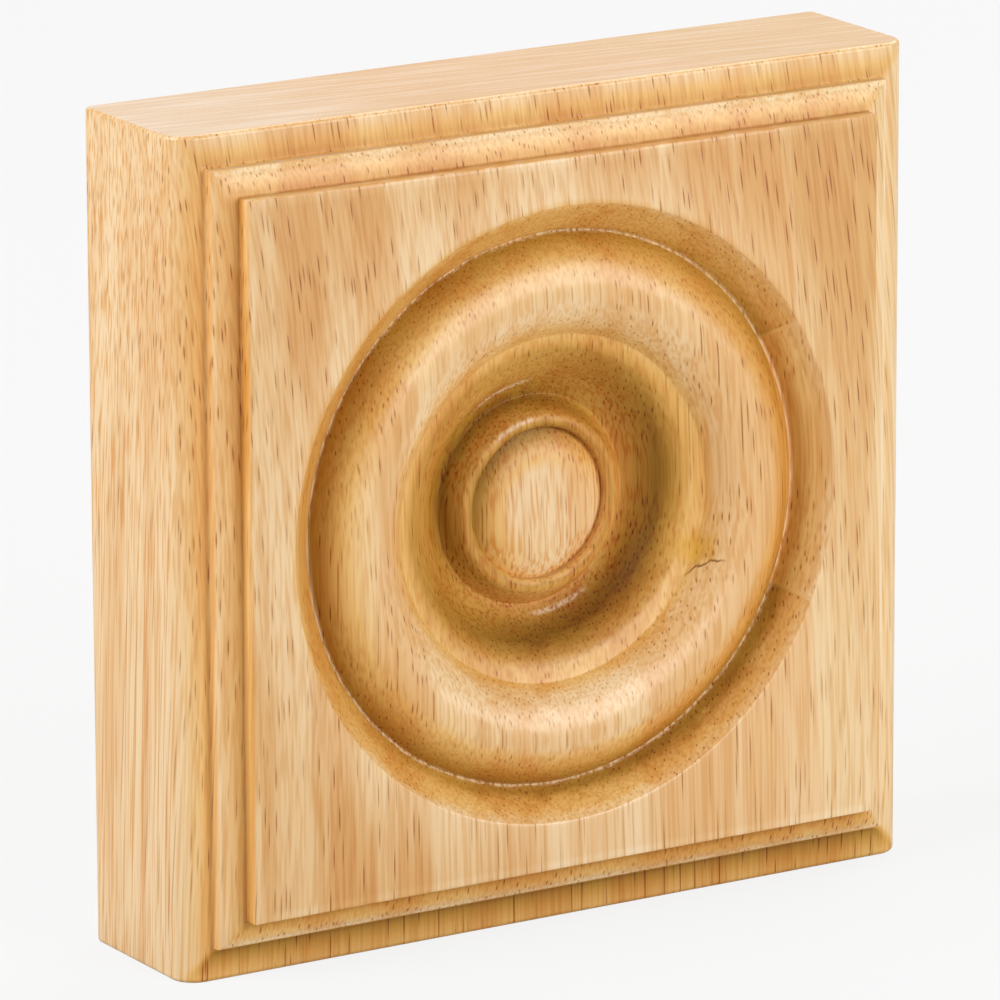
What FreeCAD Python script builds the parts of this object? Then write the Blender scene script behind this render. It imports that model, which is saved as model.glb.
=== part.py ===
"""Corner rosette block: a square hardwood trim block with a moulded border and a turned bull's-eye.

Millimetres. The back face lies in the plane y = 0 and the face that shows looks along -Y.
The origin is the centre of the back face, +Z is up and follows the grain.
"""
import FreeCAD, Part
import math
import os

Vector = FreeCAD.Vector

# The blank
BLOCK_SIDE = 88.9  # width and height
BLOCK_DEPTH = 22.2  # back face to the raised panel
BACK_EDGE_ROUND = 0.8  # all round the back

# The moulded border, from the outer edge inwards
BAND_WIDTH = 3.6  # flat outer band
BAND_STEP = 1.0  # how far the lip stands above the band
STEP_FILLET = 0.3  # hollow at the foot of that step
OVOLO_WIDTH = 2.9  # rounded slope from the lip in to the panel's foot, where it is level
OVOLO_RISE = 0.9  # lip to the panel's foot
PANEL_STEP = 1.8  # upright edge of the panel
ARRIS_ROUND = 0.2  # sanded arrises of the lip and the panel
LONG_EDGE_ROUND = 2.8  # the two front edges along the grain
END_EDGE_ROUND = 0.5  # the two front edges across the grain

# The bull's-eye, from the panel inwards: widths are radial, depths are below the panel
PANEL_MARGIN = 5.05  # flat left between the panel's edge and the rim
GROOVE_WIDTH = 3.45  # sloping outer wall of the groove
GROOVE_DEPTH = 3.5
RING_CREST_DEPTH = 0.3  # top of the broad rounded ring
RING_FOOT_DEPTH = 3.15  # inner foot of that ring
LEDGE_WIDTH = 1.7
LEDGE_FALL = 0.35  # the ledge slopes in towards the hollow
HOLLOW_WIDTH = 5.7
HOLLOW_DROP = 4.7  # ledge to the bottom of the hollow
HOLLOW_BOW = 0.2  # the hollow's wall is an ogee, and each half of it bows this much
BEAD_FLANK_WIDTH = 1.6  # sloping outer side of the bead
BEAD_FLANK_RISE = 2.2
BEAD_WIDTH = 1.5  # rounded top of the bead
BEAD_CROWN = 0.3  # top of the bead above its two edges
QUIRK_DROP = 0.9  # edge of the button below the bead's inner edge
BUTTON_DIAMETER = 16.2
BUTTON_FLAT = 9.0  # diameter of the button's flat top
BUTTON_RISE = 1.1  # flat top above the button's edge

SAME_POINT = 1e-6  # points nearer than this are one point

HALF_SIDE = BLOCK_SIDE / 2
FRONT = -BLOCK_DEPTH
BAND_DEPTH = PANEL_STEP + OVOLO_RISE + BAND_STEP
PANEL_HALF = HALF_SIDE - BAND_WIDTH - OVOLO_WIDTH
OVOLO_RADIUS = (OVOLO_WIDTH ** 2 + OVOLO_RISE ** 2) / (2 * OVOLO_RISE)

RIM_RADIUS = PANEL_HALF - PANEL_MARGIN
CREASE_RADIUS = RIM_RADIUS - GROOVE_WIDTH
BUTTON_RADIUS = BUTTON_DIAMETER / 2
BEAD_EDGE_RADIUS = BUTTON_RADIUS + BEAD_WIDTH
HOLLOW_RADIUS = BEAD_EDGE_RADIUS + BEAD_FLANK_WIDTH
LEDGE_INNER_RADIUS = HOLLOW_RADIUS + HOLLOW_WIDTH
LEDGE_OUTER_RADIUS = LEDGE_INNER_RADIUS + LEDGE_WIDTH
LEDGE_DEPTH = RING_FOOT_DEPTH + LEDGE_FALL
HOLLOW_DEPTH = LEDGE_DEPTH + HOLLOW_DROP
BEAD_EDGE_DEPTH = HOLLOW_DEPTH - BEAD_FLANK_RISE
QUIRK_DEPTH = BEAD_EDGE_DEPTH + QUIRK_DROP
BUTTON_TOP_DEPTH = QUIRK_DEPTH - BUTTON_RISE


def line(start, end):
    """Straight edge between two points."""
    return Part.LineSegment(start, end).toShape()


def arc(start, middle, end):
    """Circular edge through three points."""
    return Part.Arc(start, middle, end).toShape()


def round_corner(start, centre, end):
    """Circular edge between two points at the same distance from the centre, the short way round."""
    outwards = (start + end) * 0.5 - centre
    outwards.normalize()
    return arc(start, centre + outwards * (start - centre).Length, end)


def bowed(start, end, bow):
    """Circular edge between two points whose middle stands off the chord by this much."""
    chord = end - start
    across = Vector(-chord.y, chord.x, 0)
    across.normalize()
    return arc(start, (start + end) * 0.5 + across * bow, end)


def border_edges(side, front_round, place):
    """Half of a block's section: the border at one side, from the panel out and round to the back.

    side is 1 or -1, and place turns a distance from the middle and a depth into a point.
    """
    front_round = min(front_round, BAND_WIDTH - STEP_FILLET)

    def at(inset, depth):
        return place(side * (HALF_SIDE - inset), FRONT + depth)

    step = BAND_WIDTH
    panel = HALF_SIDE - PANEL_HALF
    panel_edge = at(panel + ARRIS_ROUND, 0)
    panel_side = at(panel, ARRIS_ROUND)
    panel_foot = at(panel, PANEL_STEP)
    ovolo_depth = PANEL_STEP + OVOLO_RADIUS
    ovolo_centre = at(panel, ovolo_depth)
    reach = OVOLO_RADIUS - ARRIS_ROUND
    lip_depth = ovolo_depth - math.sqrt(reach ** 2 - (OVOLO_WIDTH - ARRIS_ROUND) ** 2)
    lip_centre = at(step + ARRIS_ROUND, lip_depth)
    lip_edge = ovolo_centre + (lip_centre - ovolo_centre) * (OVOLO_RADIUS / reach)
    step_top = at(step, lip_depth)
    step_foot = at(step, BAND_DEPTH - STEP_FILLET)
    band_inner = at(step - STEP_FILLET, BAND_DEPTH)
    band_outer = at(front_round, BAND_DEPTH)
    side_front = at(0, BAND_DEPTH + front_round)
    side_back = at(0, BLOCK_DEPTH - BACK_EDGE_ROUND)
    back_edge = at(BACK_EDGE_ROUND, BLOCK_DEPTH)
    edges = [
        line(at(HALF_SIDE, 0), panel_edge),
        round_corner(panel_edge, at(panel + ARRIS_ROUND, ARRIS_ROUND), panel_side),
        line(panel_side, panel_foot),
        round_corner(panel_foot, ovolo_centre, lip_edge),
        round_corner(lip_edge, lip_centre, step_top),
        line(step_top, step_foot),
        round_corner(step_foot, at(step - STEP_FILLET, BAND_DEPTH - STEP_FILLET), band_inner),
        round_corner(band_outer, at(front_round, BAND_DEPTH + front_round), side_front),
        line(side_front, side_back),
        round_corner(side_back, at(BACK_EDGE_ROUND, BLOCK_DEPTH - BACK_EDGE_ROUND), back_edge),
        line(back_edge, at(HALF_SIDE, BLOCK_DEPTH)),
    ]
    if (band_inner - band_outer).Length > SAME_POINT:
        edges.append(line(band_inner, band_outer))
    return edges


def moulded_bar(front_round, place, along):
    """Straight length of the border's section with both its sides moulded."""
    edges = border_edges(1, front_round, place) + border_edges(-1, front_round, place)
    outline = Part.Wire(Part.sortEdges(edges)[0])
    return Part.Face(outline).extrude(along)


def moulded_block():
    """Block with the border mitred at its corners: two moulded bars that cross at right angles."""
    upright = moulded_bar(
        LONG_EDGE_ROUND,
        lambda across, y: Vector(across, y, -HALF_SIDE),
        Vector(0, 0, BLOCK_SIDE),
    )
    level = moulded_bar(
        END_EDGE_ROUND,
        lambda across, y: Vector(-HALF_SIDE, y, across),
        Vector(BLOCK_SIDE, 0, 0),
    )
    return upright.common(level).removeSplitter()


def bullseye_waste():
    """Wood that the turning takes away: everything in front of the bull's-eye, out to its rim."""

    def at(radius, depth):
        return Vector(radius, FRONT + depth, 0)

    clear = -BLOCK_DEPTH
    rim = at(RIM_RADIUS, 0)
    crease = at(CREASE_RADIUS, GROOVE_DEPTH)
    ring_middle = (CREASE_RADIUS + LEDGE_OUTER_RADIUS) / 2
    ledge_outer = at(LEDGE_OUTER_RADIUS, RING_FOOT_DEPTH)
    ledge_inner = at(LEDGE_INNER_RADIUS, LEDGE_DEPTH)
    hollow = at(HOLLOW_RADIUS, HOLLOW_DEPTH)
    ogee_middle = (ledge_inner + hollow) * 0.5
    bead_outer = at(BEAD_EDGE_RADIUS, BEAD_EDGE_DEPTH)
    bead_inner = at(BUTTON_RADIUS, BEAD_EDGE_DEPTH)
    quirk = at(BUTTON_RADIUS, QUIRK_DEPTH)
    shoulder = at(BUTTON_FLAT / 2, BUTTON_TOP_DEPTH)
    shoulder_width = BUTTON_RADIUS - BUTTON_FLAT / 2
    shoulder_round = (shoulder_width ** 2 + BUTTON_RISE ** 2) / (2 * BUTTON_RISE)
    edges = [
        line(at(0, clear), at(RIM_RADIUS, clear)),
        line(at(RIM_RADIUS, clear), rim),
        line(rim, crease),
        arc(crease, at(ring_middle, RING_CREST_DEPTH), ledge_outer),
        line(ledge_outer, ledge_inner),
        bowed(ledge_inner, ogee_middle, HOLLOW_BOW),
        bowed(ogee_middle, hollow, -HOLLOW_BOW),
        line(hollow, bead_outer),
        bowed(bead_outer, bead_inner, BEAD_CROWN),
        line(bead_inner, quirk),
        round_corner(quirk, shoulder + Vector(0, shoulder_round, 0), shoulder),
        line(shoulder, at(0, BUTTON_TOP_DEPTH)),
        line(at(0, BUTTON_TOP_DEPTH), at(0, clear)),
    ]
    section = Part.Face(Part.Wire(Part.sortEdges(edges)[0]))
    return section.revolve(Vector(0, 0, 0), Vector(0, 1, 0), 360)


def rosette_block():
    """The finished block."""
    return moulded_block().cut(bullseye_waste()).Solids[0]


os.makedirs("parts", exist_ok=True)
rosette_block().exportStep("parts/rosette_block.step")
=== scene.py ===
"""Corner rosette block: its finished surface, wood and studio, as an add-on that runs as a script.

Everything is in metres in the block's own frame: the origin is the centre of the back face, the face
that shows looks along -Y and the grain runs along Z.
"""
import math
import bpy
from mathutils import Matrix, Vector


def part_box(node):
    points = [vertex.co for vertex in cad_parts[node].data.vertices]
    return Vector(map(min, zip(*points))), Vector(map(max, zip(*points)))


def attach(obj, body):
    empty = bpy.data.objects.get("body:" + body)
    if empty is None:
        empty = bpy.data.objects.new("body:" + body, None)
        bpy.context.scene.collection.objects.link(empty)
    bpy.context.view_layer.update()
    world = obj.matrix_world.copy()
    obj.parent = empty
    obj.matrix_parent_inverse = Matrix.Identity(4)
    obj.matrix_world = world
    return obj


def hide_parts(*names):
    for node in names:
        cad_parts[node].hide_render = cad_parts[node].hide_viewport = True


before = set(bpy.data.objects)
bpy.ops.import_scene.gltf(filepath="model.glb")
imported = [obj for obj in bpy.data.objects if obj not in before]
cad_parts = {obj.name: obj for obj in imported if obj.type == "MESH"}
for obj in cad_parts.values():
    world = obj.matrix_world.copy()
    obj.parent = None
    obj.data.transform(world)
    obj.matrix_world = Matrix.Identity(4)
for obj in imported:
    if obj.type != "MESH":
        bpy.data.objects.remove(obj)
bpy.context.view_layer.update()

from types import SimpleNamespace

import bmesh
import bpy
from bpy.props import FloatProperty, FloatVectorProperty, IntProperty, PointerProperty
from mathutils import Matrix, Vector

bl_info = {
    "name": "Corner rosette block",
    "version": (1, 0, 0),
    "blender": (4, 5, 0),
    "location": "3D View > Sidebar > Rosette",
    "description": "Builds a moulded corner block with a turned bull's-eye, its wood and its studio",
    "category": "Object",
}

NODE = "rosette_block"
BODY = "root"
LOW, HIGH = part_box(NODE)
MM = 0.001
PER_MM = 1000.0


def length(name, description, millimetres):
    """A size that the user can change, with its default in millimetres."""
    return FloatProperty(
        name=name,
        description=description,
        default=millimetres * MM,
        min=0.0,
        precision=5,
        unit="LENGTH",
        subtype="DISTANCE",
    )


def colour(name, description, red, green, blue):
    """A colour that the user can change, as linear red, green and blue."""
    return FloatVectorProperty(
        name=name,
        description=description,
        default=(red, green, blue),
        min=0.0,
        max=1.0,
        size=3,
        subtype="COLOR",
    )


def angle(name, description, degrees):
    """An angle that the user can change, with its default in degrees."""
    return FloatProperty(
        name=name, description=description, default=math.radians(degrees), subtype="ANGLE"
    )


def factor(name, description, default):
    """A share from 0 to 1 that the user can change."""
    return FloatProperty(
        name=name, description=description, default=default, min=0.0, max=1.0, subtype="FACTOR"
    )


def strength(name, description, default):
    """A strength of light that the user can change."""
    return FloatProperty(name=name, description=description, default=default, min=0.0)


class BlockSizes(bpy.types.PropertyGroup):
    """Sizes of the blank and its moulded border."""

    side: length("Side", "Width and height of the block", (HIGH.x - LOW.x) * PER_MM)
    depth: length("Depth", "Back face to the raised panel", (HIGH.y - LOW.y) * PER_MM)
    band_width: length("Band width", "Flat outer band of the border", 3.6)
    band_step: length("Band step", "How far the lip stands above the band", 1.0)
    step_fillet: length("Step fillet", "Hollow at the foot of the step", 0.3)
    ovolo_width: length("Ovolo width", "Rounded slope from the lip in to the panel's foot", 2.9)
    ovolo_rise: length("Ovolo rise", "Lip to the panel's foot", 0.9)
    panel_step: length("Panel step", "Upright edge of the panel", 1.8)
    long_edge_round: length("Long edge round", "Front edges along the grain", 2.8)
    end_edge_round: length("End edge round", "Edges across the grain", 0.5)
    back_edge_round: length("Back edge round", "Back edges along the grain", 0.8)
    sanding: length("Sanding", "Reach over which sanding softens the arrises", 0.45)


class TurningSizes(bpy.types.PropertyGroup):
    """Sizes of the bull's-eye: widths are radial and depths are below the panel."""

    panel_margin: length("Panel margin", "Flat between the panel's edge and the rim", 5.05)
    groove_width: length("Groove width", "Sloping outer wall of the groove", 3.45)
    groove_depth: length("Groove depth", "Depth of the groove's crease", 3.5)
    ring_crest_depth: length("Ring crest depth", "Top of the broad rounded ring", 0.3)
    ring_foot_depth: length("Ring foot depth", "Inner foot of that ring", 3.15)
    ledge_width: length("Ledge width", "Width of the narrow ledge inside the ring", 1.7)
    ledge_fall: length("Ledge fall", "Slope of the ledge in towards the hollow", 0.35)
    hollow_width: length("Hollow width", "Ledge to the bottom of the hollow", 5.7)
    hollow_drop: length("Hollow drop", "Fall of the hollow below the ledge", 4.7)
    hollow_bow: length("Hollow bow", "Bow of each half of the hollow's ogee wall", 0.2)
    bead_flank_width: length("Bead flank width", "Sloping outer side of the bead", 1.6)
    bead_flank_rise: length("Bead flank rise", "Bottom of the hollow to the bead's edge", 2.2)
    bead_width: length("Bead width", "Rounded top of the bead", 1.5)
    bead_crown: length("Bead crown", "Top of the bead above its two edges", 0.3)
    quirk_drop: length("Quirk drop", "Edge of the button below the bead's edge", 0.9)
    button_diameter: length("Button diameter", "Diameter of the button", 16.2)
    button_flat: length("Button flat", "Diameter of the button's flat top", 9.0)
    button_rise: length("Button rise", "Flat top of the button above its edge", 1.1)
    sanding: length("Sanding", "Reach over which sanding softens the turned corners", 0.5)
    steps_per_side: IntProperty(
        name="Steps per side",
        description="Mesh steps along each side of the panel, and in a quarter turn",
        default=64,
        min=8,
    )


class WoodLook(bpy.types.PropertyGroup):
    """Colours and gloss of the lacquered wood."""

    cream: colour("Cream wood", "The palest bands of the wood", 0.96, 0.70, 0.405)
    tan: colour("Tan wood", "The darker bands of the wood", 0.87, 0.535, 0.235)
    streak: colour("Streaks", "Tint of the fine fibres", 0.86, 0.69, 0.45)
    pore: colour("Pores", "Tint of the open pores that hold the finish", 0.52, 0.31, 0.11)
    # The sanded ends' colour, paler and pinker than the wood, is partly their own colour and partly
    # painted sheen
    end: colour("End grain", "Colour of the sanded ends", 0.80, 0.59, 0.42)
    roughness: factor("Roughness", "Roughness of the sanded wood under the lacquer", 0.5)
    lacquer: factor("Lacquer", "Weight of the clear satin lacquer", 0.75)


class StudioSettings(bpy.types.PropertyGroup):
    """Camera, lamps and floor."""

    azimuth: angle("Azimuth", "Camera's turn round the block from straight in front", -31.62)
    elevation: angle("Elevation", "Camera's height above the horizon", 14.84)
    roll: angle("Roll", "Camera's turn about its own axis", -0.2)
    lens: FloatProperty(
        name="Lens", description="Focal length in millimetres", default=320.5, min=1.0
    )
    distance: length("Distance", "Camera to the point that it looks at", 914.6)
    back_power: strength("Back light", "Power of the light behind on the right, in watts", 3.6)
    right_power: strength("Right light", "Power of the light on the right, in watts", 3.9)
    left_power: strength("Left light", "Power of the light on the left, in watts", 4.6)
    ambient: strength("Ambient", "Light from the room on every side", 0.05)
    sheen: strength("Sheen", "How white the room is in the lacquer's gloss", 0.2)
    floor: colour("Floor", "Colour of the pale floor", 0.55, 0.55, 0.54)


# Flat outlines


def arc(centre, radius, start, end, steps):
    """Points on a circle from one angle to another, both included, in degrees."""
    turns = [math.radians(start + (end - start) * step / steps) for step in range(steps + 1)]
    return [(centre[0] + radius * math.cos(a), centre[1] + radius * math.sin(a)) for a in turns]


def arc_through(first, middle, last, steps):
    """Points on the circle through three points, from the first to the last."""
    ax, ay = first
    bx, by = middle[0] - ax, middle[1] - ay
    cx, cy = last[0] - ax, last[1] - ay
    cross = 2.0 * (bx * cy - by * cx)
    ux = (cy * (bx * bx + by * by) - by * (cx * cx + cy * cy)) / cross
    uy = (bx * (cx * cx + cy * cy) - cx * (bx * bx + by * by)) / cross
    start = math.degrees(math.atan2(-uy, -ux))
    end = math.degrees(math.atan2(cy - uy, cx - ux))
    if cross > 0.0 and end < start:
        end += 360.0
    if cross < 0.0 and end > start:
        end -= 360.0
    return arc((ax + ux, ay + uy), math.hypot(ux, uy), start, end, steps)


def bowed(start, end, bow, steps):
    """Points on the circle between two points whose middle stands off the chord by this much."""
    across = (start[1] - end[1], end[0] - start[0])
    share = bow / math.hypot(*across)
    middle = tuple((a + b) / 2 + c * share for a, b, c in zip(start, end, across))
    return arc_through(start, middle, end, steps)


def evenly(points, step):
    """The same line with its points a short, even step apart."""
    spaced = [points[0]]
    for start, end in zip(points, points[1:]):
        run = math.dist(start, end)
        count = max(1, round(run / step))
        for number in range(1, count + 1):
            share = number / count
            spaced.append(tuple(a + (b - a) * share for a, b in zip(start, end)))
    return spaced


def sanded(points, reach):
    """The line with its corners softened over this reach, thinned to the points that its bends need."""
    steps_in_reach = 8
    passes = 2
    span = 2
    largest_gap = 0.7 * MM
    largest_turn = math.radians(9.0)
    line = evenly(points, reach / steps_in_reach)
    for _ in range(passes):
        line = [
            tuple(
                sum(p[axis] for p in line[number - width:number + width + 1]) / (2 * width + 1)
                for axis in (0, 1)
            )
            for number in range(len(line))
            for width in (min(span, number, len(line) - 1 - number),)
        ]
    kept = [line[0]]
    heading = math.atan2(line[1][1] - line[0][1], line[1][0] - line[0][0])
    for point, after in zip(line[1:], line[2:]):
        turn = math.atan2(after[1] - point[1], after[0] - point[0]) - heading
        turn = abs(math.remainder(turn, math.tau))
        if turn > largest_turn or math.dist(kept[-1], point) > largest_gap:
            kept.append(point)
            heading = math.atan2(after[1] - point[1], after[0] - point[0])
    return kept + [line[-1]]


def band_depth(block):
    """Depth of the outer band below the panel."""
    return block.panel_step + block.ovolo_rise + block.band_step


def border_outline(block, start):
    """Insets and depths of the border, from the flat band up to the flat panel."""
    step = block.band_width
    panel = step + block.ovolo_width
    band = band_depth(block)
    fillet = block.step_fillet
    ovolo = (block.ovolo_width ** 2 + block.ovolo_rise ** 2) / (2.0 * block.ovolo_rise)
    turn = math.degrees(math.asin(block.ovolo_width / ovolo))
    points = [(start, band)]
    points += arc((step - fillet, band - fillet), fillet, 90.0, 0.0, steps=6)
    points += arc((panel, block.panel_step + ovolo), ovolo, -90.0 - turn, -90.0, steps=12)
    points += [(panel, 0.0), (panel + block.sanding, 0.0)]
    return sanded(points, block.sanding)


def turned_outline(block, turning):
    """Radii and depths of the bull's-eye, from the flat panel in to its middle."""
    panel_half = block.side / 2 - block.band_width - block.ovolo_width
    rim = panel_half - turning.panel_margin
    crease = rim - turning.groove_width
    button = turning.button_diameter / 2
    bead_edge = button + turning.bead_width
    hollow_radius = bead_edge + turning.bead_flank_width
    ledge_inner = hollow_radius + turning.hollow_width
    ledge_outer = ledge_inner + turning.ledge_width
    ledge_depth = turning.ring_foot_depth + turning.ledge_fall
    hollow_depth = ledge_depth + turning.hollow_drop
    bead_depth = hollow_depth - turning.bead_flank_rise
    quirk = bead_depth + turning.quirk_drop
    top = quirk - turning.button_rise
    flat = turning.button_flat / 2
    shoulder = ((button - flat) ** 2 + turning.button_rise ** 2) / (2.0 * turning.button_rise)
    shoulder_turn = math.degrees(math.asin((button - flat) / shoulder))
    ogee_middle = ((ledge_inner + hollow_radius) / 2, (ledge_depth + hollow_depth) / 2)
    points = [(rim + turning.sanding, 0.0), (rim, 0.0)]
    points += arc_through(
        (crease, turning.groove_depth),
        ((crease + ledge_outer) / 2, turning.ring_crest_depth),
        (ledge_outer, turning.ring_foot_depth),
        steps=40,
    )
    points += bowed((ledge_inner, ledge_depth), ogee_middle, turning.hollow_bow, steps=12)
    points += bowed(ogee_middle, (hollow_radius, hollow_depth), -turning.hollow_bow, steps=12)
    points += bowed((bead_edge, bead_depth), (button, bead_depth), turning.bead_crown, steps=8)
    points += arc((flat, top + shoulder), shoulder, -90.0 + shoulder_turn, -90.0, steps=10)
    points += [(0.0, top)]
    return sanded(points, turning.sanding)


def block_plan(block, columns):
    """Closed outline of the block seen from above, as points with the way that they face.

    columns are the places across the front where the border's mesh meets it.
    """
    half = block.side / 2
    front = -block.depth + band_depth(block)
    edge = block.long_edge_round
    back = block.back_edge_round

    def corner(side, inner, radius, start, end, steps):
        centre = (side * (half - radius), inner)
        points = arc(centre, radius, start, end, steps)
        return [(x, y, (x - centre[0]) / radius, (y - centre[1]) / radius) for x, y in points]

    plan = [(x, front, 0.0, -1.0) for x in columns]
    plan += corner(1.0, front + edge, edge, -90.0, 0.0, steps=12)
    plan += corner(1.0, -back, back, 0.0, 90.0, steps=5)
    plan += corner(-1.0, -back, back, 90.0, 180.0, steps=5)
    plan += corner(-1.0, front + edge, edge, 180.0, 270.0, steps=12)
    return plan


# The block's mesh

BAND_START = 0.05 * MM  # gap between the rounded edge and the first line of the border's mesh
PANEL_RINGS = (0.35, 0.7)  # shares of the way from the panel's edge to the rim
ARRIS_STEPS = 4
SHARP_BEND = math.radians(35.0)


def tangents(half, steps):
    """Places along a side of a square that are even steps of angle apart, seen from its middle."""
    quarter = math.pi / 4
    return [half * math.tan(-quarter + 2.0 * quarter * step / steps) for step in range(steps + 1)]


def square_points(half, steps):
    """Points round a square, in even steps of angle from its lower left corner."""
    side = tangents(half, steps)[:-1]
    points = [(place, -half) for place in side]
    points += [(half, place) for place in side]
    points += [(-place, half) for place in side]
    points += [(-half, -place) for place in side]
    return points


def circle_points(radius, steps):
    """Points round a circle, at the same angles as those of a square."""
    angles = [math.radians(-135.0 + 90.0 * step / steps) for step in range(4 * steps)]
    return [(radius * math.cos(angle), radius * math.sin(angle)) for angle in angles]


def add_slab(mesh, block, steps, inset):
    """Sides, back, ends and outer band of the block. Gives the square opening left in its front."""
    half = block.side / 2
    ease = block.end_edge_round
    opening = tangents(half - inset, steps)
    plan = block_plan(block, opening)
    arris = [math.radians(90.0 - 90.0 * step / ARRIS_STEPS) for step in range(ARRIS_STEPS + 1)]
    below = [(-half + ease * (1.0 - math.sin(a)), ease * (1.0 - math.cos(a))) for a in arris]
    above = [(-z, drop) for z, drop in reversed(below)]
    levels = below + [(z, 0.0) for z in opening] + above
    rows = [
        [mesh.verts.new((x - nx * drop, y - ny * drop, z)) for x, y, nx, ny in plan]
        for z, drop in levels
    ]
    first = len(below)
    for row, (lower, upper) in enumerate(zip(rows, rows[1:])):
        for column in range(len(plan)):
            beside = (column + 1) % len(plan)
            if column < steps and first <= row < first + steps:
                continue
            mesh.faces.new((lower[column], lower[beside], upper[beside], upper[column]))
    mesh.faces.new(rows[0][::-1])
    mesh.faces.new(rows[-1])
    last = first + steps
    ring = [rows[first][column] for column in range(steps)]
    ring += [rows[row][steps] for row in range(first, last)]
    ring += [rows[last][steps - column] for column in range(steps)]
    ring += [rows[last - row][0] for row in range(steps)]
    return ring


def add_ring(mesh, ring, points, y):
    """Joins a ring of vertices to a new one at these points."""
    made = [mesh.verts.new((x, y, z)) for x, z in points]
    count = len(ring)
    for number in range(count):
        beside = (number + 1) % count
        mesh.faces.new((ring[number], ring[beside], made[beside], made[number]))
    return made


def block_mesh(block, turning):
    """Mesh of the whole block, with its border mitred and its bull's-eye turned."""
    steps = turning.steps_per_side
    half = block.side / 2
    front = -block.depth
    mesh = bmesh.new()
    border = border_outline(block, block.long_edge_round + BAND_START)
    turned = turned_outline(block, turning)
    ring = add_slab(mesh, block, steps, border[0][0])
    for inset, depth in border[1:]:
        ring = add_ring(mesh, ring, square_points(half - inset, steps), front + depth)
    outer = square_points(half - border[-1][0], steps)
    inner = circle_points(turned[0][0], steps)
    for share in PANEL_RINGS:
        between = [tuple(a + (b - a) * share for a, b in zip(p, q)) for p, q in zip(outer, inner)]
        ring = add_ring(mesh, ring, between, front)
    for radius, depth in turned[:-1]:
        ring = add_ring(mesh, ring, circle_points(radius, steps), front + depth)
    middle = mesh.verts.new((0.0, front + turned[-1][1], 0.0))
    for number, vertex in enumerate(ring):
        mesh.faces.new((vertex, ring[(number + 1) % len(ring)], middle))
    bmesh.ops.recalc_face_normals(mesh, faces=mesh.faces)
    data = bpy.data.meshes.new("moulded_block")
    mesh.to_mesh(data)
    mesh.free()
    data.shade_smooth()
    data.set_sharp_from_angle(angle=SHARP_BEND)
    return data


# Shader maths


class Wire:
    """An output of a material's nodes that can stand in a Python expression."""

    def __init__(self, tree, socket=None):
        self.tree = tree
        self.socket = socket

    def add(self, kind, settings=None, sockets=None, output=0):
        """Adds a node with its settings, then its sockets' values or links, and gives one output.

        The setting "stops" takes the places and colours of a colour ramp.
        """
        made = self.tree.nodes.new(kind)
        for name, value in (settings or {}).items():
            if name == "stops":
                elements = made.color_ramp.elements
                elements.remove(elements[-1])
                for place, shade in value[1:]:
                    elements.new(place).color = rgba(shade)
                elements[0].position, elements[0].color = value[0][0], rgba(value[0][1])
            else:
                setattr(made, name, value)
        for name, value in (sockets or {}).items():
            if isinstance(value, Wire):
                self.tree.links.new(value.socket, made.inputs[name])
            else:
                made.inputs[name].default_value = value
        return Wire(self.tree, made.outputs[output] if made.outputs else None)

    def maths(self, operation, *values):
        """Adds a Math node, or a Vector Math node where one of the values is a vector or a colour."""
        wires = [value for value in values if isinstance(value, Wire)]
        if all(wire.socket.type == "VALUE" for wire in wires):
            return self.add("ShaderNodeMath", {"operation": operation}, dict(enumerate(values)))
        spread = [value if isinstance(value, (Wire, tuple)) else (value,) * 3 for value in values]
        return self.add("ShaderNodeVectorMath", {"operation": operation}, dict(enumerate(spread)))

    def __add__(self, other):
        return self.maths("ADD", self, other)

    def __sub__(self, other):
        return self.maths("SUBTRACT", self, other)

    def __rsub__(self, other):
        return self.maths("SUBTRACT", other, self)

    def __mul__(self, other):
        return self.maths("MULTIPLY", self, other)

    def __truediv__(self, other):
        return self.maths("DIVIDE", self, other)

    def __pow__(self, other):
        return self.maths("POWER", self, other)

    def __abs__(self):
        return self.maths("ABSOLUTE", self)

    def parts(self):
        """The three numbers of a vector."""
        made = self.add("ShaderNodeSeparateXYZ", sockets={0: self}).socket.node
        return [Wire(self.tree, output) for output in made.outputs]

    def vector(self, x, y, z):
        """A vector of three numbers."""
        return self.add("ShaderNodeCombineXYZ", sockets={0: x, 1: y, 2: z})

    def between(self, low, high, start=0.0, end=1.0):
        """Goes smoothly from start to end as the value goes from low to high."""
        return self.add(
            "ShaderNodeMapRange",
            {"interpolation_type": "SMOOTHSTEP"},
            {0: self, 1: low, 2: high, 3: start, 4: end},
        )

    def towards(self, other, share, mode="MIX"):
        """Mixes a colour with another one."""
        mixed = {"data_type": "RGBA", "blend_type": mode}
        return self.add("ShaderNodeMix", mixed, {0: share, 6: self, 7: rgba(other)}, output=2)

    def noise(self, detail, roughness=0.5):
        """Noise at this place, from 0 to 1."""
        return self.add(
            "ShaderNodeTexNoise",
            None,
            {"Vector": self, "Scale": 1.0, "Detail": detail, "Roughness": roughness},
        )


def rgba(value):
    """A colour property as the four numbers that a socket takes."""
    return value if isinstance(value, Wire) else (*value[:3], 1.0)


# The wood

# Places on the face in millimetres, across and up from its middle
STAVE_JOINT = 29.25
KNOT = (16.9, -6.6)
CHECK_BEND = (18.0, -8.05)
CHECK_MIDDLE = 17.9
HOLLOW_SHADE_MIDDLE = (5.0, -12.0)
HOLLOW_SHADE_REACH = (13.0, 9.0)

# Distances in millimetres: out from the middle of the face, in from the edge, and below the panel
CREASE = 29.5
LIP = 3.85
PANEL = 6.5
FACE_ENDS = (11.0, 9.0)
BORDER_ENDS = (5.5, 3.9)
PORE_SPACING = 0.6
PORE_WIDTH = 0.27

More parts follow.
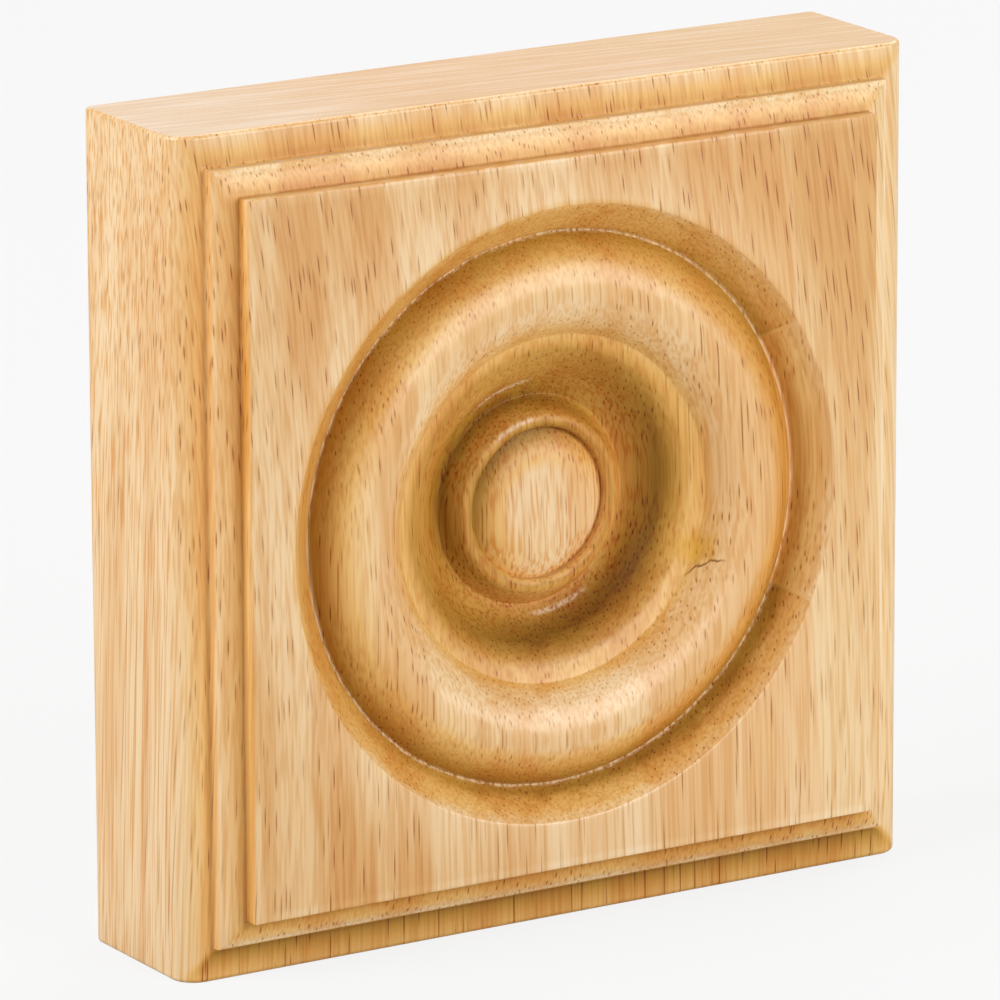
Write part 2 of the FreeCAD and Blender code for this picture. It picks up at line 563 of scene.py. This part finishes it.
# The grain: its lean and bow up the block, the joint's slopes and the shift of the right stave's wood
GRAIN_LEAN = (0.07, 0.03)
GRAIN_BOW = 0.0012
TUBE_LEAN = 0.035
JOINT_SLOPES = (0.06, 0.85)
STAVE_SHIFT = (61.0, 23.0)
WAVER = (5.0, 4.0)

# Scales of the noise, in cycles a millimetre
WAVER_SCALE = (0.018, 0.018, 0.011)
BROAD_SCALE = (0.16, 0.2, 0.005)
NARROW_SCALE = (0.55, 1.1, 0.018)
FINE_SCALE = (3.0, 4.0, 0.05)

# Tints of the wood as the stain and painted shade get deeper, from bare wood to the darkest corner
THREAD_TINT = (0.94, 0.74, 0.46)
PALE_END_SHEEN_TINT = (1.02, 1.14, 1.3)
CORNER_TINT = (0.86, 0.71, 0.47)
STAVE_TINT = (0.98, 1.0, 0.98)
KNOT_TINT = (0.90, 0.80, 0.28)
CHECK_TINT = (0.36, 0.25, 0.10)

# Tints and colours of painted highlights on the arrises, in the crease and on short arcs, and of
# painted shade in the lower hollow and at the panel's foot
ARRIS_HIGHLIGHT_TINT = (1.05, 1.12, 1.25)
HOLLOW_SHADE_TINT = (0.80, 0.73, 0.60)
FOOT_SHADE_TINT = (0.78, 0.64, 0.38)
GLINT_COLOUR = (1.0, 0.80, 0.60)
CREASE_HIGHLIGHT_COLOUR = (1.0, 0.80, 0.56)

# Tints of the wood as the stain gets deeper, from bare wood to the darkest corner
STAIN_AND_SHADE_TONES = (
    (0.0, (1.0, 1.0, 1.0)),
    (0.25, (0.95, 0.8, 0.45)),
    (0.5, (0.8, 0.6, 0.25)),
    (0.75, (0.55, 0.4, 0.1)),
    (1.0, (0.3, 0.2, 0.02)),
)

# Depth of the stain and painted shade by millimetres: the stain settles in the hollows and is thin on
# the crests, and painted shade darkens the recesses.
# On the bull's-eye the upper left and the lower right take different depths, painted shade of light
# falling from one side; at the lower right the dark rings lie further out from the middle
UPPER_STAIN_AND_SHADE = (
    (3.5, 0.0),
    (6.0, 0.5),
    (8.0, 1.0),
    (9.0, 0.5),
    (10.0, 1.0),
    (13.0, 0.6),
    (16.0, 0.65),
    (19.0, 0.25),
    (22.0, 0.0),
    (26.0, 0.2),
    (29.4, 0.8),
    (30.0, 0.4),
    (32.0, 0.4),
    (33.5, 0.0),
)
LOWER_STAIN_AND_SHADE = (
    (7.7, 0.0),
    (8.7, 0.65),
    (10.3, 0.4),
    (13.0, 0.7),
    (15.3, 1.0),
    (17.5, 0.5),
    (20.0, 0.0),
    (25.0, 0.05),
    (28.0, 0.65),
    (30.2, 0.85),
    (31.2, 0.4),
    (33.0, 0.0),
)
BORDER_STAIN_AND_SHADE = (
    (0.7, 0.1),
    (2.3, 0.5),
    (3.3, 0.8),
    (3.8, 0.0),
    (4.6, 0.25),
    (6.0, 0.7),
    (6.4, 0.7),
    (6.6, 0.0),
)

# Share of the border's stain and painted shade on the left side, how other sides differ with the light,
# and painted shade on the bottom band
LEFT_SHARE = 0.4
RIGHT_LESS = 0.35
TOP_MORE = 0.2
BOTTOM_MORE = 0.5
BOTTOM_BAND_SHADE = 0.25

# Short arcs of painted glint on the lacquer: millimetres from the middle and degrees round it
GLINT_ARCS = ((13.1, 109.0), (12.25, 286.0), (9.2, 110.0))


def wood_places(start, block):
    """Places in the wood in millimetres, as they are and along its fibres, and masks of its parts."""
    place = start.add("ShaderNodeTexCoord", output="Object") * PER_MM
    x, y, z = place.parts()
    facing = start.add("ShaderNodeTexCoord", output="Normal").parts()[2]
    sideways, upright = abs(x), abs(z)
    depth = y + block.depth * PER_MM
    inset = block.side / 2 * PER_MM - sideways.maths("MAXIMUM", sideways, upright)
    stave = (x + z * JOINT_SLOPES[0] + depth * JOINT_SLOPES[1] - STAVE_JOINT).between(-0.12, 0.12)
    waver = (place * WAVER_SCALE).noise(0.0) - 0.5
    across = x + z * GRAIN_LEAN[0] + z * z * GRAIN_BOW + stave * STAVE_SHIFT[0] + waver * WAVER[0]
    through = y + z * GRAIN_LEAN[1] + stave * STAVE_SHIFT[1] - waver * WAVER[1]
    return SimpleNamespace(
        x=x,
        y=y,
        z=z,
        depth=depth,
        radius=(x * x + z * z) ** 0.5,
        inset=inset,
        stave=stave,
        fibre=start.vector(across, through, z),
        tubes=start.vector(across, through + z * TUBE_LEAN, 0.0),
        end_grain=abs(facing).between(0.8, 0.98),
        face=depth.between(*FACE_ENDS),
        border=depth.between(*BORDER_ENDS),
        panel=inset.between(PANEL - 0.1, PANEL + 0.1),
        above=(z - sideways).between(-0.8, 0.8),
        below=(z + sideways).between(0.8, -0.8),
        right=(x - upright).between(-1.2, 1.2),
    )


def pore_layer(tubes, spacing, width):
    """Tubes along the grain: short streaks on a face along it and dots on one across it."""
    cells = tubes.add(
        "ShaderNodeTexVoronoi", {"voronoi_dimensions": "2D"}, {"Vector": tubes, "Scale": 1.0 / spacing}
    )
    tint = Wire(cells.tree, cells.socket.node.outputs["Color"]).parts()[0]
    reach = width / 2 / spacing
    return cells.between(reach * 0.2, reach, 1.0, 0.0) * tint.between(0.0, 0.9)


def bare_wood(start, at, look, bands, fine):
    """Wood before its finish: bands and fibres along the grain, and layers on the sawn ends, whose pale
    colour is partly painted sheen.
    """
    wood = start.add("ShaderNodeRGB")
    wood.socket.default_value = rgba(look.tan)
    wood = wood.towards(look.cream, bands.between(0.36, 0.60))
    wood = wood.towards(look.streak, fine.between(0.62, 0.30) * 0.75, "MULTIPLY")
    threads = fine.between(0.47, 0.34) * at.depth.between(4.0, 7.0)
    wood = wood.towards(THREAD_TINT, threads, "MULTIPLY")
    layers = start.vector(at.x * 0.05, at.y * 1.2 + at.x * 0.12, 0.0).noise(1.0, 0.7)
    end = start.add("ShaderNodeRGB")
    end.socket.default_value = rgba(look.end)
    # painted sheen: the ends are paler and whiter towards the left
    end = end.towards(PALE_END_SHEEN_TINT, at.x.between(-12.0, -38.0), "MULTIPLY")
    end = end.towards(look.streak, layers.between(0.66, 0.40) * 0.5, "MULTIPLY")
    return wood.towards(end, at.end_grain * 0.9)


def add_marks(wood, at, corner, bands, uneven, fine):
    """Marks in the wood: its darker corner, its other stave, and a knot with a check across it."""
    wood = wood.towards(CORNER_TINT, corner * bands.between(0.62, 0.42, 0.5, 1.0), "MULTIPLY")
    unturned = 1.0 - at.radius.between(33.5, 32.5) * at.face
    wood = wood.towards(STAVE_TINT, at.stave * unturned, "MULTIPLY")
    past = at.x - CHECK_BEND[0]
    off = at.z - CHECK_BEND[1] - past * 0.42 + past ** 2 * 0.17 + uneven * 1.2
    knot = ((at.x - KNOT[0]) ** 2 + (at.z - KNOT[1]) ** 2) ** 0.5 + uneven * 2.0
    knot = knot.between(2.8, 0.8) * off.between(-0.3, 0.4)
    wood = wood.towards(KNOT_TINT, knot * at.face, "MULTIPLY")
    check = abs(off).between(0.17, 0.05) * abs(at.x - CHECK_MIDDLE).between(2.2, 1.0)
    return wood.towards(CHECK_TINT, check * at.face * fine.between(0.2, 0.5, 0.5, 1.0), "MULTIPLY")


def depth_along(distance, stops):
    """Depth of the stain and painted shade along a distance, from stops of millimetres and a depth
    each.
    """
    reach = stops[-1][0]
    places = [(place / reach, (depth,) * 3) for place, depth in stops]
    return distance.add("ShaderNodeValToRGB", {"stops": places}, {0: distance / reach}).parts()[0]


def stain_and_shade_depth(at, uneven):
    """Depth of the stain and painted shade in the turning and on the four sides of the border."""
    # painted shade: the rings shift, and the upper left and the lower right take different depths, as
    # light falls from one side
    lean = (at.x - at.z) * 0.07 * at.radius.between(8.5, 10.5) * at.radius.between(18.5, 16.5)
    ring = at.radius + lean + uneven
    upper = ((at.z - at.x) / (at.radius + 1.0)).between(-1.3, 1.3)
    turned = depth_along(ring, LOWER_STAIN_AND_SHADE)
    turned = turned + (depth_along(ring, UPPER_STAIN_AND_SHADE) - turned) * upper
    # painted shade: the border is darker or lighter side by side as light falls on it, and the bottom
    # band darker still
    share = LEFT_SHARE - at.right * RIGHT_LESS + at.above * TOP_MORE + at.below * BOTTOM_MORE
    border = depth_along(at.inset + uneven * 0.3, BORDER_STAIN_AND_SHADE) * share
    border = border + at.below * at.inset.between(3.3, 3.1) * BOTTOM_BAND_SHADE
    return turned * at.face * (1.0 - at.stave * 0.3) + border * at.border


def add_finish_shade_and_highlights(wood, at, stain_and_shade, uneven, fine):
    """The stain and painted shade, painted shade in the lower hollow and at the panel's foot, and
    painted highlights on the arrises, in the crease and on short arcs.
    """
    # the stain and painted shade darken the wood by these tones
    tone = stain_and_shade.add("ShaderNodeValToRGB", {"stops": STAIN_AND_SHADE_TONES}, {0: stain_and_shade})
    wood = wood.towards(tone, 1.0, "MULTIPLY")
    # painted highlight: the lip's arris and the panel's edge are lighter and whiter
    arris_highlights = abs(at.inset - LIP).between(0.3, 0.1)
    arris_highlights = arris_highlights + at.inset.between(6.55, 6.7) * at.inset.between(7.8, 7.0)
    wood = wood.towards(ARRIS_HIGHLIGHT_TINT, arris_highlights * at.border, "MULTIPLY")
    # painted shade: darker in the lower part of the hollow, round a middle below and right of the
    # centre
    hollow_shade = ((at.x - HOLLOW_SHADE_MIDDLE[0]) / HOLLOW_SHADE_REACH[0]) ** 2 + ((at.z - HOLLOW_SHADE_MIDDLE[1]) / HOLLOW_SHADE_REACH[1]) ** 2
    hollow_shade = hollow_shade.between(1.3, 0.0) * at.radius.between(12.2, 13.4) * at.radius.between(17.6, 16.2)
    wood = wood.towards(HOLLOW_SHADE_TINT, hollow_shade * at.face, "MULTIPLY")
    # painted highlights: short pale glints on the hollow and the bead
    for distance, turn in GLINT_ARCS:
        way = math.radians(turn)
        near = (at.x * math.cos(way) + at.z * math.sin(way)) / at.radius
        glint = abs(at.radius - distance).between(0.36, 0.05) * near.between(0.945, 0.99)
        glint = glint * fine.between(0.3, 0.6, 0.25, 1.0) * at.face
        wood = wood.towards(GLINT_COLOUR, glint * 0.5)
    # painted highlight: a thin pale line along the groove's crease
    crease = abs(at.radius + uneven * 0.5 - CREASE).between(0.28, 0.05) * fine.between(0.25, 0.7)
    wood = wood.towards(CREASE_HIGHLIGHT_COLOUR, crease * at.face * 0.55)
    # painted shade: darker down the panel's upright edge towards its foot
    foot_shade = at.depth.between(0.5, 1.8) * at.inset.between(6.25, 6.45) * at.inset.between(6.7, 6.52)
    return wood.towards(FOOT_SHADE_TINT, foot_shade * at.border, "MULTIPLY")


def wood_material(block, look):
    """Pale hardwood with vertical bands, fibres and open pores, under a clear satin lacquer."""
    material = bpy.data.materials.new("lacquered_wood")
    material.use_nodes = True
    tree = material.node_tree
    tree.nodes.clear()
    start = Wire(tree)
    at = wood_places(start, block)
    broad = (at.fibre * BROAD_SCALE).noise(0.0)
    narrow = (at.fibre * NARROW_SCALE).noise(2.0)
    fine = (at.fibre * FINE_SCALE).noise(1.0)
    bands = broad * 0.6 + narrow * 0.4
    uneven = narrow - 0.5
    corner = at.radius.between(32.0, 41.0) * (at.x - at.z).between(45.0, 20.0) * at.panel * at.face
    stain_and_shade = stain_and_shade_depth(at, uneven)
    wood = bare_wood(start, at, look, bands, fine)
    wood = add_marks(wood, at, corner, bands, uneven, fine)
    wood = add_finish_shade_and_highlights(wood, at, stain_and_shade, uneven, fine)

    along = 1.0 - at.end_grain
    crowd = bands.between(0.58, 0.40, 0.6, 1.0) * (along * 0.85 + 0.15) + corner * 0.25
    ends = (at.above * 0.4 + at.below * 0.5) * (1.0 - at.panel) * along * at.border
    # pores crowd more where the stain and painted shade are deep
    crowd = crowd + stain_and_shade.between(0.5, 0.95) * 0.6 + ends
    pores = pore_layer(at.tubes, PORE_SPACING, PORE_WIDTH)
    wood = wood.towards(look.pore, pores * crowd, "MULTIPLY")
    surface = start.add(
        "ShaderNodeBsdfPrincipled",
        None,
        {
            "Base Color": wood,
            "Roughness": pores * 0.2 + at.end_grain * 0.4 + look.roughness,
            "Specular IOR Level": 0.3,
            "Coat Weight": stain_and_shade.between(0.7, 0.1) * (1.0 - at.end_grain * 0.9) * look.lacquer,
            "Coat Roughness": 0.25,
        },
    )
    start.add("ShaderNodeOutputMaterial", None, {"Surface": surface})
    return material


# Operators


class ROSETTE_OT_block(bpy.types.Operator):
    """Builds the moulded block and its turned bull's-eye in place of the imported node"""

    bl_idname = "rosette.block"
    bl_label = "Build the block"

    def execute(self, context):
        scene = context.scene
        piece = bpy.data.objects.new(
            "moulded_block", block_mesh(scene.rosette_sizes, scene.rosette_turning)
        )
        scene.collection.objects.link(piece)
        piece.data.materials.append(wood_material(scene.rosette_sizes, scene.rosette_wood))
        weighted = piece.modifiers.new("Even shading", "WEIGHTED_NORMAL")
        weighted.keep_sharp = True
        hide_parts(NODE)
        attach(piece, BODY)
        return {"FINISHED"}


# The stage, in metres

FLOOR_REACH = 6.0
FLOOR_WHITE = 0.85  # how near white the floor is to the camera
LAMP_SIZE = 0.5
BACK_LIGHT = (0.41, 0.24, 0.51)
RIGHT_LIGHT = (0.29, -0.62, 0.146)
LEFT_LIGHT = (-0.57, 0.0, 0.40)
LOOK_AT = Vector((-0.0085, LOW.y, 0.0029))
SENSOR_WIDTH = 36.0  # millimetres


def floor_material(studio):
    """Plain pale floor that is near white to the camera and keeps the block's shadow."""
    material = bpy.data.materials.new("studio_floor")
    material.use_nodes = True
    material.cycles.emission_sampling = "NONE"
    tree = material.node_tree
    tree.nodes.clear()
    start = Wire(tree)
    matt = start.add(
        "ShaderNodeBsdfDiffuse", None, {"Color": rgba(studio.floor), "Roughness": 0.6}
    )
    white = start.add("ShaderNodeEmission", None, {"Strength": 1.0})
    seen = start.add("ShaderNodeLightPath", output="Is Camera Ray")
    shiny = start.add("ShaderNodeLightPath", output="Is Glossy Ray")
    mixed = start.add(
        "ShaderNodeMixShader", None, {0: seen * FLOOR_WHITE + shiny * studio.sheen, 1: matt, 2: white}
    )
    start.add("ShaderNodeOutputMaterial", None, {"Surface": mixed})
    return material


def add_floor(scene, studio):
    """Wide floor under the block, well past the camera's view."""
    mesh = bmesh.new()
    bmesh.ops.create_grid(mesh, x_segments=1, y_segments=1, size=FLOOR_REACH)
    data = bpy.data.meshes.new("studio_floor")
    mesh.to_mesh(data)
    mesh.free()
    floor = bpy.data.objects.new("studio_floor", data)
    floor.location.z = LOW.z
    scene.collection.objects.link(floor)
    data.materials.append(floor_material(studio))


def add_lamp(scene, name, power, place):
    """Soft square light that looks at the middle of the block."""
    data = bpy.data.lights.new(name, "AREA")
    data.energy = power
    data.size = LAMP_SIZE
    lamp = bpy.data.objects.new(name, data)
    lamp.location = place
    middle = (LOW + HIGH) / 2
    lamp.rotation_mode = "QUATERNION"
    lamp.rotation_quaternion = (middle - Vector(place)).to_track_quat("-Z", "Y")
    scene.collection.objects.link(lamp)


def light_world(scene, studio):
    """White surroundings for the camera and a plain even light for the block."""
    world = bpy.data.worlds.new("studio")
    world.use_nodes = True
    tree = world.node_tree
    tree.nodes.clear()
    start = Wire(tree)
    seen = start.add("ShaderNodeLightPath", output="Is Camera Ray")
    shiny = start.add("ShaderNodeLightPath", output="Is Glossy Ray")
    white = start.add("ShaderNodeBackground", None, {"Strength": 1.0})
    room = start.add("ShaderNodeBackground", None, {"Strength": studio.ambient})
    for ground in (white, room):
        ground.socket.node.inputs["Color"].default_value = (1.0, 1.0, 1.0, 1.0)
    mixed = start.add("ShaderNodeMixShader", None, {0: seen + shiny * studio.sheen, 1: room, 2: white})
    start.add("ShaderNodeOutputWorld", None, {"Surface": mixed})
    scene.world = world


def add_camera(scene, studio):
    """Camera at the photograph's angle."""
    data = bpy.data.cameras.new("studio_camera")
    data.lens = studio.lens
    data.sensor_width = SENSOR_WIDTH
    level = math.cos(studio.elevation)
    back = Vector(
        (
            math.sin(studio.azimuth) * level,
            -math.cos(studio.azimuth) * level,
            math.sin(studio.elevation),
        )
    )
    camera = bpy.data.objects.new("studio_camera", data)
    turn = (-back).to_track_quat("-Z", "Y").to_matrix().to_4x4()
    roll = Matrix.Rotation(studio.roll, 4, "Z")
    camera.matrix_world = Matrix.Translation(LOOK_AT + back * studio.distance) @ turn @ roll
    scene.collection.objects.link(camera)
    scene.camera = camera


class ROSETTE_OT_stage(bpy.types.Operator):
    """Sets up the floor, the soft studio light and the camera"""

    bl_idname = "rosette.stage"
    bl_label = "Set up the stage"

    def execute(self, context):
        scene = context.scene
        studio = scene.rosette_studio
        add_floor(scene, studio)
        add_lamp(scene, "back_light", studio.back_power, BACK_LIGHT)
        add_lamp(scene, "right_light", studio.right_power, RIGHT_LIGHT)
        add_lamp(scene, "left_light", studio.left_power, LEFT_LIGHT)
        light_world(scene, studio)
        add_camera(scene, studio)
        scene.view_settings.view_transform = "Standard"
        return {"FINISHED"}


class ROSETTE_PT_panel(bpy.types.Panel):
    """Lists the settings and the steps"""

    bl_idname = "ROSETTE_PT_panel"
    bl_label = "Corner rosette block"
    bl_space_type = "VIEW_3D"
    bl_region_type = "UI"
    bl_category = "Rosette"

    def draw(self, context):
        for operator in OPERATORS:
            self.layout.operator(operator.bl_idname)
        for name in GROUPS:
            group = getattr(context.scene, name)
            box = self.layout.box()
            for setting in group.__annotations__:
                box.prop(group, setting)


GROUPS = {
    "rosette_sizes": BlockSizes,
    "rosette_turning": TurningSizes,
    "rosette_wood": WoodLook,
    "rosette_studio": StudioSettings,
}
OPERATORS = (ROSETTE_OT_block, ROSETTE_OT_stage)
CLASSES = (*GROUPS.values(), *OPERATORS, ROSETTE_PT_panel)


def register():
    """Registers the classes and hangs the settings on the scene."""
    for cls in CLASSES:
        bpy.utils.register_class(cls)
    for name, group in GROUPS.items():
        setattr(bpy.types.Scene, name, PointerProperty(type=group))


def unregister():
    """Takes the settings and classes away again."""
    for name in GROUPS:
        delattr(bpy.types.Scene, name)
    for cls in reversed(CLASSES):
        bpy.utils.unregister_class(cls)


def main():
    register()
    bpy.ops.rosette.block()
    bpy.ops.rosette.stage()


if __name__ == "__main__":
    main()
